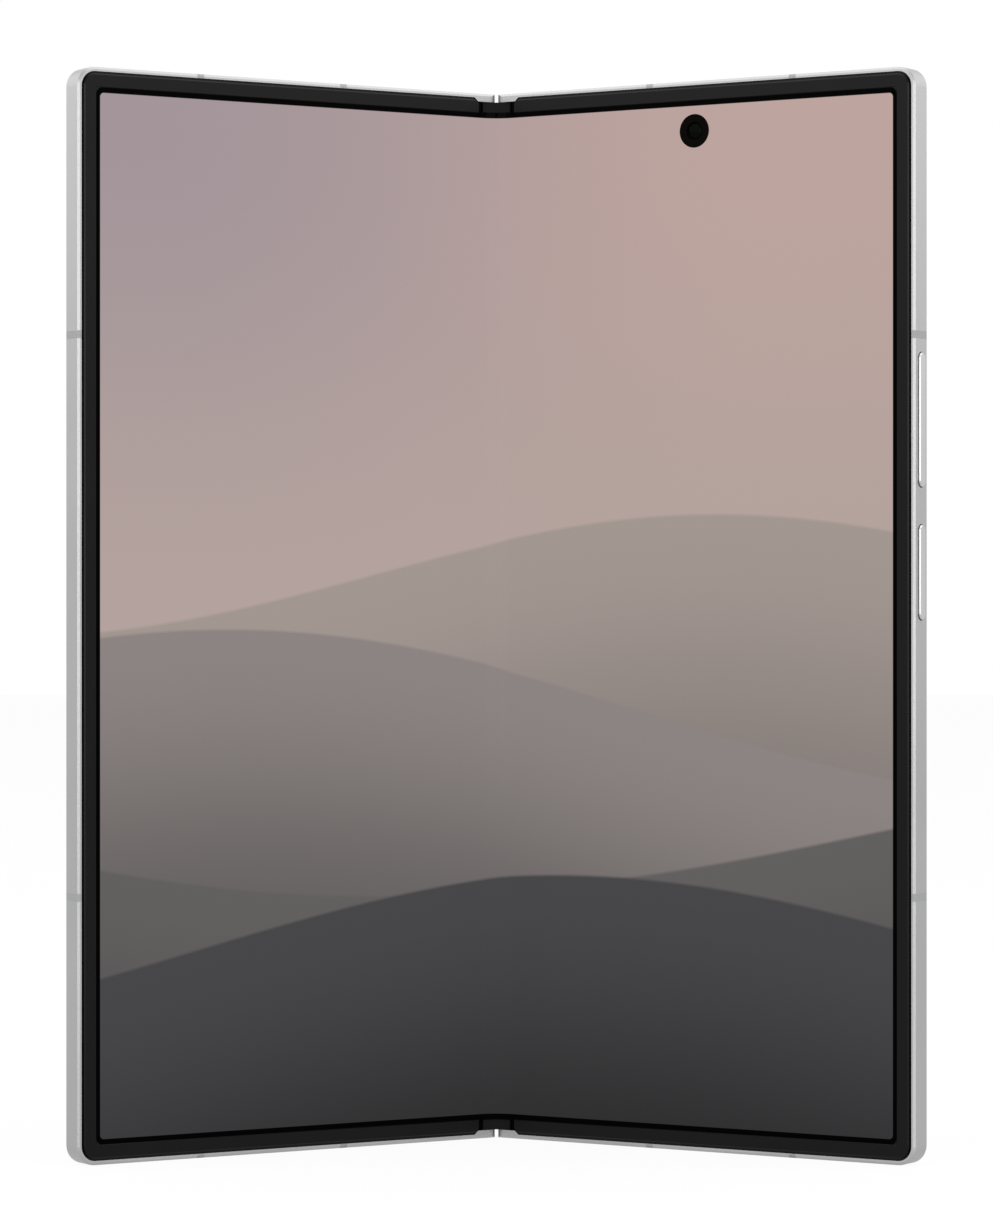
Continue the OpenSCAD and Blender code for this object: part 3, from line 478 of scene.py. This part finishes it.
def gap_seal_painted_shade(side):
    """Black foam seal in the gap round the bezel, taken from the bezel's own seal faces; its strip
    is blacker than the lit seal, as painted shade of the deep gap.

    Known fault: the flush in pick_faces goes by shared corners, so nearly all seal faces are
    deleted too. A patch is left at the gap's lower end by the fold, with bits of the walls."""
    word = "right" if side > 0 else "left"
    flat = half_matrix(side).inverted()
    clear_selection()
    bpy.ops.mesh.primitive_plane_add(size=1)
    piece = bpy.context.object
    piece.name = f"gap_seal_painted_shade_{word}"
    piece.data = NODES[f"{word}_bezel"].data.copy()
    bpy.ops.object.mode_set(mode="EDIT")
    bpy.ops.mesh.select_all(action="SELECT")
    bpy.ops.mesh.remove_doubles(threshold=CAD_WELD)
    seal_y = SEAL_DEPTH * MM
    pick_faces(piece, lambda face: abs((flat @ face.calc_center_median()).y - seal_y) > FLAT_WITHIN)
    bpy.ops.mesh.delete(type="FACE")
    bpy.ops.mesh.select_all(action="SELECT")
    bpy.ops.mesh.dissolve_limited(angle_limit=math.radians(1))
    bpy.ops.mesh.select_all(action="SELECT")
    outwards = half_matrix(side).to_3x3() @ Vector((0, -1, 0))
    bpy.ops.transform.translate(value=outwards * SEAL_LIFT * MM)
    bpy.ops.mesh.extrude_region_move(TRANSFORM_OT_translate={"value": outwards * SEAL_T * MM})
    bpy.ops.object.mode_set(mode="OBJECT")
    # the strip's black is partly the seal's own colour and partly painted shade of the gap
    settle(piece, Matrix(), SEAL_PAINTED_SHADE, f"{word}_half", "bezel")


def bezel_fillets(side):
    """The small rounded fillets that fill the inner corners of the bezel."""
    word = "right" if side > 0 else "left"
    outer = flat_box(f"{word}_rail_side", side)[1].x / MM
    half_h = MID_Z / MM
    for end in (-1, 1):
        clear_selection()
        bpy.ops.mesh.primitive_circle_add(vertices=48, radius=FILLET_R * MM, fill_type="NOTHING")
        piece = bpy.context.object
        piece.name = f"bezel_fillet_{word}_{'top' if end > 0 else 'bottom'}"
        bpy.ops.object.mode_set(mode="EDIT")
        mesh = bmesh.from_edit_mesh(piece.data)
        bmesh.ops.delete(mesh, geom=[v for v in mesh.verts if min(v.co.x, v.co.y) < -WELD],
                         context="VERTS")
        bmesh.update_edit_mesh(piece.data)
        bpy.ops.mesh.select_all(action="SELECT")
        bpy.ops.mesh.extrude_region_move()
        bpy.ops.mesh.merge(type="CENTER")
        mesh = bmesh.from_edit_mesh(piece.data)
        for corner in [v for v in mesh.verts if v.select]:
            corner.co = Vector((1, 1, 0)) * (FILLET_R + FILLET_LAP) * MM
        bmesh.update_edit_mesh(piece.data)
        bpy.ops.mesh.select_all(action="SELECT")
        bpy.ops.mesh.extrude_region_move(TRANSFORM_OT_translate={"value": (0, 0, FILLET_T * MM)})
        bpy.ops.object.mode_set(mode="OBJECT")
        inset = BEZEL_EDGE + FILLET_R
        spot = Vector((outer - inset, 0.01, half_h + end * (half_h - inset))) * MM
        settle(piece, half_matrix(side) @ Matrix.Translation(spot)
               @ Matrix.Scale(end, 4, (0, 0, 1)) @ Matrix.Rotation(math.radians(90), 4, "X"),
               URETHANE, f"{word}_half", "bezel")


def turned(name, rings, segments=72):
    """A closed round piece about its own Z axis, from (radius, height) rings in millimetres."""
    clear_selection()
    (radius, height), *others = rings
    bpy.ops.mesh.primitive_circle_add(vertices=segments, radius=radius * MM, fill_type="NGON",
                                      location=(0, 0, height * MM))
    piece = bpy.context.object
    piece.name = name
    bpy.ops.object.mode_set(mode="EDIT")
    bpy.ops.mesh.select_all(action="SELECT")
    for wider, higher in others:
        bpy.ops.mesh.extrude_region_move(
            TRANSFORM_OT_translate={"value": (0, 0, (higher - height) * MM)})
        bpy.ops.transform.resize(value=(wider / radius, wider / radius, 1))
        radius, height = wider, higher
    bpy.ops.object.mode_set(mode="OBJECT")
    return piece


def block(name, low, high, bevel):
    """A block between two corners in millimetres, with its edges bevelled."""
    clear_selection()
    low, high = Vector(low) * MM, Vector(high) * MM
    bpy.ops.mesh.primitive_cube_add(size=1, location=(low + high) / 2)
    piece = bpy.context.object
    piece.name = name
    piece.scale = high - low
    bpy.ops.object.transform_apply(location=True, rotation=True, scale=True)
    bpy.ops.object.mode_set(mode="EDIT")
    bpy.ops.mesh.select_all(action="SELECT")
    bpy.ops.mesh.bevel(offset=bevel * MM, segments=2, affect="EDGES")
    bpy.ops.object.mode_set(mode="OBJECT")
    return piece


def joined(first, *others):
    """Joins pieces into the first of them."""
    clear_selection()
    for piece in (first, *others):
        piece.select_set(True)
    bpy.context.view_layer.objects.active = first
    bpy.ops.object.join()
    return first


def copied(piece, shift):
    """A copy with its own mesh, moved by a shift in millimetres."""
    clear_selection()
    piece.select_set(True)
    bpy.context.view_layer.objects.active = piece
    bpy.ops.object.duplicate()
    twin = bpy.context.object
    twin.location += Vector(shift) * MM
    return twin


def settle(piece, place, finish, body, slot, *stands_for):
    """Sets a piece on the phone, makes its faces point outwards, and gives it finish and body."""
    clear_selection()
    piece.select_set(True)
    bpy.context.view_layer.objects.active = piece
    piece.matrix_basis = place @ piece.matrix_basis
    bpy.ops.object.transform_apply(location=True, rotation=True, scale=True)
    bpy.ops.object.mode_set(mode="EDIT")
    bpy.ops.mesh.select_all(action="SELECT")
    bpy.ops.mesh.remove_doubles(threshold=WELD)
    bpy.ops.mesh.normals_make_consistent(inside=False)
    bpy.ops.object.mode_set(mode="OBJECT")
    bpy.ops.object.shade_smooth_by_angle(angle=SMOOTH_BELOW)
    piece.data.materials.clear()
    piece.data.materials.append(finish)
    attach(piece, body)
    for node in stands_for:
        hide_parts(node)


def facing(side, spot, back=True):
    """Places a turned piece on a half: its axis looks out of the back, or out of the front."""
    quarter = math.radians(-90 if back else 90)
    return half_matrix(side) @ Matrix.Translation(spot) @ Matrix.Rotation(quarter, 4, "X")


def lens_dome(name, radius, base, rise):
    """A lens element: a straight edge, then a crown in rings that close up to its middle."""
    crown = [(radius * math.cos(math.radians(turn)), base + rise * math.sin(math.radians(turn)))
             for turn in range(0, 89, 11)]
    return turned(name, [(radius, base - 0.2), *crown])


def rear_cameras():
    """Three cameras: a window with a raised rim, a stepped black well and a coated lens in it."""
    ring_low, ring_high = flat_box("lens_rings", 1)
    glass_low, glass_high = flat_box("lens_glasses", 1)
    window = (glass_high.x - glass_low.x) / 2 / MM
    step = (ring_high.z - ring_low.z - (ring_high.x - ring_low.x)) / 2
    module_low = flat_box("camera_modules", 1)[0]
    depth = (glass_low.y - module_low.y) / MM
    for place, (lens, well) in enumerate(REAR_LENSES):
        spot = Vector(((ring_low.x + ring_high.x) / 2, glass_low.y,
                       (ring_low.z + ring_high.z) / 2 + (place - 1) * step))
        seat = facing(1, spot)
        # up the side of the window, round its raised rim and across its sunk face
        glass = turned(f"camera_window_{place}", [
            (window, 0), (window, 0.7), (window - 0.06, 0.76), (window - 0.2, 0.8), (4.5, 0.8),
            (4.2, 0.72), (4.1, 0.55), (0.05, 0.55)])
        settle(glass, seat, CLEAR, "right_half", "lens_glass", "lens_glasses")
        # from the module up to the window, then down the well in steps
        barrel = turned(f"camera_barrel_{place}", [
            (5, -depth), (5, -0.6), (window - 0.1, -0.5), (window - 0.1, -0.04), (4.0, -0.04),
            (3.8, -0.3), (3.2, -0.36), (3.05, -0.62), (lens + 0.75, -0.68),
            (lens + 0.6, -well * 0.75), (lens + 0.2, -well * 0.8), (lens + 0.12, -well),
            (0.05, -well)])
        base = block(f"camera_base_{place}", (-MODULE_HALF_W, -MODULE_HALF_W, -depth + 1.2),
                     (MODULE_HALF_W, MODULE_HALF_W, -2.3), 0.5)
        settle(joined(barrel, base), seat, BAFFLE, "right_half", "module", "camera_modules")
        settle(lens_dome(f"camera_lens_{place}", lens, -well + 0.1, 0.4), seat, LENS,
               "right_half", "lens_glass")


def small_camera(name, node, side, back, mask_finish, finish):
    """A selfie camera: a glossy mask with a narrow well, and its lens."""
    low, high = flat_box(node, side)
    spot = Vector(((low.x + high.x) / 2, high.y if back else low.y, (low.z + high.z) / 2))
    seat = facing(side, spot, back)
    radius = SMALL_EYES[node]
    half = "right_half" if side > 0 else "left_half"
    if back:
        rim = [(radius, -0.05), (radius - 0.05, 0)]
    else:
        # the print round the hole in the display laps over the hole's edge
        rim = [(radius, 0.025), (radius + PRINT_LAP, 0.025), (radius + PRINT_LAP, 0.03)]
    mask = turned(name + "_mask", [(radius, -1.6), *rim, (radius * 0.56, rim[-1][1]),
                                   (radius * 0.5, -0.3), (0.05, -0.3)])
    base = block(name + "_base", *SMALL_HOUSING, 0.4)
    settle(joined(mask, base), seat, mask_finish, half, "lens_glass", node)
    settle(lens_dome(name + "_lens", radius * 0.48, -0.25, 0.2), seat, finish, half, "lens_glass")


def flash():
    """The flash: a cast yellow lens with fine rings that spread the light."""
    low, high = flat_box("flash_lens", 1)
    radius = (high.x - low.x) / 2 / MM
    rise = (high.y - low.y) / MM
    rings = [(radius, 0), (radius, rise - 0.1), (radius - 0.1, rise)]
    for step in range(1, 6):
        ring = radius - 0.1 - step * FLASH_RING
        rings += [(ring + 0.02, rise - 0.09), (ring, rise)]
    spot = Vector(((low.x + high.x) / 2, low.y, (low.z + high.z) / 2))
    settle(turned("flash_rings", rings + [(0.05, rise)], 48), facing(1, spot), FLASH,
           "right_half", "flash", "flash_lens")


def port_contacts():
    """Gold contacts on both faces of the tongue in the charging port."""
    low, high = (corner / MM for corner in flat_box("usb_tongue", 1))
    middle = Vector(((low.x + high.x) / 2, (low.y + high.y) / 2, low.z))
    strips = []
    for face in (-1, 1):
        off = face * CONTACT_Y
        first = block("usb_contacts" if face < 0 else "usb_contacts_back",
                      (-CONTACT_W / 2, off - CONTACT_T / 2, 0.5),
                      (CONTACT_W / 2, off + CONTACT_T / 2, 3.4), 0.012)
        first.location = (middle - Vector(((CONTACT_COUNT - 1) / 2 * CONTACT_PITCH, 0, 0))) * MM
        strips.append(first)
        strips += [copied(first, (number * CONTACT_PITCH, 0, 0))
                   for number in range(1, CONTACT_COUNT)]
    settle(joined(*strips), half_matrix(1), GOLD, "right_half", "bright_steel")


def mesh_plate(name, side, spot, size, turn, cell=0.2):
    """A fine wire mesh behind a sound opening, from a grid whose edges become wires.

    The wires are open along the edge of the plate, so its faces may point inwards."""
    clear_selection()
    bpy.ops.mesh.primitive_grid_add(x_subdivisions=round(size[0] / cell),
                                    y_subdivisions=round(size[1] / cell), size=1)
    plate = bpy.context.object
    plate.name = name
    plate.scale = (size[0] * MM, size[1] * MM, 1)
    bpy.ops.object.transform_apply(location=False, rotation=False, scale=True)
    wires = plate.modifiers.new("wires", "WIREFRAME")
    wires.thickness = WIRE * MM
    wires.use_even_offset = False
    bpy.ops.object.modifier_apply(modifier=wires.name)
    place = (half_matrix(side) @ Matrix.Translation(Vector(spot) * MM)
             @ Matrix.Rotation(turn, 4, "X"))
    settle(plate, place, MESH, "right_half" if side > 0 else "left_half", "module")


def sound_meshes():
    """Meshes behind the slots at the top and bottom of the right half and in the cover glass."""
    rail_x = flat_box("right_rail_mid_top", 1)[0].x / MM
    port_x = flat_box("usb_shell", 1)[1].x / MM
    top = PHONE_H / MM
    inside = RAIL_T + MESH_GAP
    mesh_plate("speaker_mesh_top", 1, (rail_x + TOP_SLOTS_X, SLOT_Y, top - inside), RAIL_MESH, 0)
    mesh_plate("speaker_mesh_bottom", 1, (port_x + PORT_SLOTS_X, SLOT_Y, inside), RAIL_MESH, 0)
    ear_low, ear_high = (corner / MM for corner in flat_box("earpiece", -1))
    ear_spot = ((ear_low.x + ear_high.x) / 2, ear_high.y + 0.04, top - EAR_DROP)
    mesh_plate("earpiece_mesh", -1, ear_spot, EAR_MESH, math.radians(90), 0.15)


# ---- the making ----

place_camera()
light_the_world()
softbox("top_box", (0, -0.1, 1.25), (2.6, 1.0), 0.85)
for side in (-1, 1):
    softbox("front_box", (side * 0.62, -1.45, MID_Z + 0.12), (1.0, 0.9), 2.25)
    softbox("side_box", (side * 0.62, 0, 0.46), (1.3, 0.6), 0.5)
lay_floor()

# bead-blasted and anodised: a soft, even, metallic sheen
ALUMINIUM = grained("aluminium_blasted_anodised", "#B0B0B0", 0.36, 0.3, 0.25, Metallic=1.0)
# the keys are polished a little further than the frame round them
KEY_METAL = grained("aluminium_keys_anodised", "#C2C2C2", 0.33, 0.3, 0.2, Metallic=1.0)
# stamped stainless steel of the hinge and the shields: smoother than the frame
STEEL = grained("steel_stamped", "#A7A7A8", 0.3, 0.2, 0.2, Metallic=1.0)
# glass-filled resin in the antenna gaps, blasted with the metal and dyed to match it
RESIN = grained("resin_antenna_moulded", "#A1A2A3", 0.5, 0.25, 0.2)
# moulded urethane round the screen: near black, with a soft highlight on its bevelled edge
URETHANE = grained("urethane_bezel_moulded", "#020202", 0.26, 0.25, 0.15,
                     **{"Specular IOR Level": 0.165})
# black plastic of the hinge's end caps and the inner fittings: finely etched, hardly shiny
ABS_BLACK = grained("abs_black_moulded", "#090909", 0.42, 0.25, 0.3,
                    **{"Specular IOR Level": 0.09})
# etched back glass over a pale silver print
GLASS_REAR = grained("glass_rear_etched", "#C3C5C9", 0.34, 0.25, 0.06, shade=0.012,
                     rough_swing=0.02, Metallic=0.35, **{"Coat Weight": 0.4, "Coat Roughness": 0.3})
# polished glass over the cover display, which is off
GLASS_COVER = dark_display("glass_cover_polished")
# dark foil laminated round the battery cells
BATTERY = grained("foil_battery_laminated", "#2B2B2D", 0.4, 0.4, 0.3)
# green solder mask of the circuit boards
BOARD = grained("solder_mask_printed", "#12301F", 0.45, 0.3, 0.2)
# gold plating of the charging contacts
GOLD = grained("gold_contact_plated", "#D9B25A", 0.25, 0.2, 0.1, Metallic=1.0)
# optical glass over the lenses: clear, hard and flat
CLEAR = clear_glass("glass_window_polished")
# lens elements with their anti-reflection coating: near black, with a tinted glint
LENS = coated("glass_lens_coated", "#04070D", 0.8, 115)
# the selfie lens lies under the display's own film, so it hardly shines; the faint green of its
# base colour is a painted glint of its coating
LENS_PAINTED_GREEN_GLINT = coated("glass_lens_under_film_painted_glint", "#060906", 0.02)
# opaque black print on the inside of the display's film and glass
PRINT = grained("ink_black_printed", "#070504", 0.3, 0.3, 0.05, **{"Specular IOR Level": 0.02})
# matt black foam of the seal in the gap: partly the seal's own black, partly painted shade of the
# deep gap, so it lets no light back out
SEAL_PAINTED_SHADE = grained("foam_seal_painted_shade", "#020202", 0.9, 0.2, 0.3, **{"Specular IOR Level": 0.02})
# black paint inside the lens wells, which swallows light
BAFFLE = grained("paint_baffle_flocked", "#060606", 0.6, 0.15, 0.1,
                 **{"Specular IOR Level": 0.2})
# blackened steel wire of the sound meshes
MESH = grained("steel_mesh_woven_black", "#1A1A1B", 0.45, 0.1, 0.1, Metallic=0.6)
# pale yellow phosphor seen through the cast lens of the flash
FLASH = grained("phosphor_flash_cast", "#E9DFA6", 0.35, 0.2, 0.2)
# the folding display, lit: two flat panels and the bending part between them
DISPLAY_RIGHT = lit_display("display_right", 1)
DISPLAY_LEFT = lit_display("display_left", -1)
DISPLAY_FOLD = lit_display("display_fold", 0)

FINISHES = [
    (ALUMINIUM, ["left_rail_hinge_ends", "left_rail_mids", "left_rail_corner_top",
                 "left_rail_corner_bottom", "left_rail_side", "right_rail_hinge_ends",
                 "right_rail_mid_top", "right_rail_mid_bottom", "right_rail_corners",
                 "right_rail_side", "spine_cover", "sim_tray", "camera_island", "lens_rings"]),
    (KEY_METAL, ["volume_key", "side_key"]),
    (STEEL, ["hinge_base_upper", "hinge_base_lower", "sync_case", "sync_pins", "left_sync_arm",
             "right_sync_arm", "left_idler", "right_idler", "left_wing_brackets",
             "right_wing_brackets", "left_mid_frame", "right_mid_frame", "sim_cage", "shield_can",
             "usb_shell"]),
    (RESIN, ["left_bands", "right_bands"]),
    (URETHANE, ["left_bezel", "right_bezel"]),
    (ABS_BLACK, ["spine_cap_top", "spine_cap_bottom", "earpiece", "loudspeaker", "usb_tongue",
                 "key_switches"]),
    (GLASS_REAR, ["rear_glass"]),
    (GLASS_COVER, ["cover_screen"]),
    (BATTERY, ["left_battery", "right_battery"]),
    (BOARD, ["main_board", "sub_board"]),
    (BAFFLE, ["camera_modules"]),
    (LENS, ["lens_glasses", "inner_camera", "cover_camera"]),
    (FLASH, ["flash_lens"]),
    (DISPLAY_LEFT, ["left_screen"]),
    (DISPLAY_RIGHT, ["right_screen"]),
]
for finish, names in FINISHES:
    for name in names:
        for slot in NODES[name].material_slots:
            slot.material = finish

for side in (-1, 1):
    fold_strip(side)
    gap_seal_painted_shade(side)
    bezel_fillets(side)
rear_cameras()
flash()
# the selfie lens's faint green is a painted glint of its coating
small_camera("selfie", "inner_camera", 1, False, PRINT, LENS_PAINTED_GREEN_GLINT)
small_camera("cover_eye", "cover_camera", -1, True, BAFFLE, LENS)
port_contacts()
sound_meshes()

bpy.context.scene.view_settings.view_transform = "Standard"
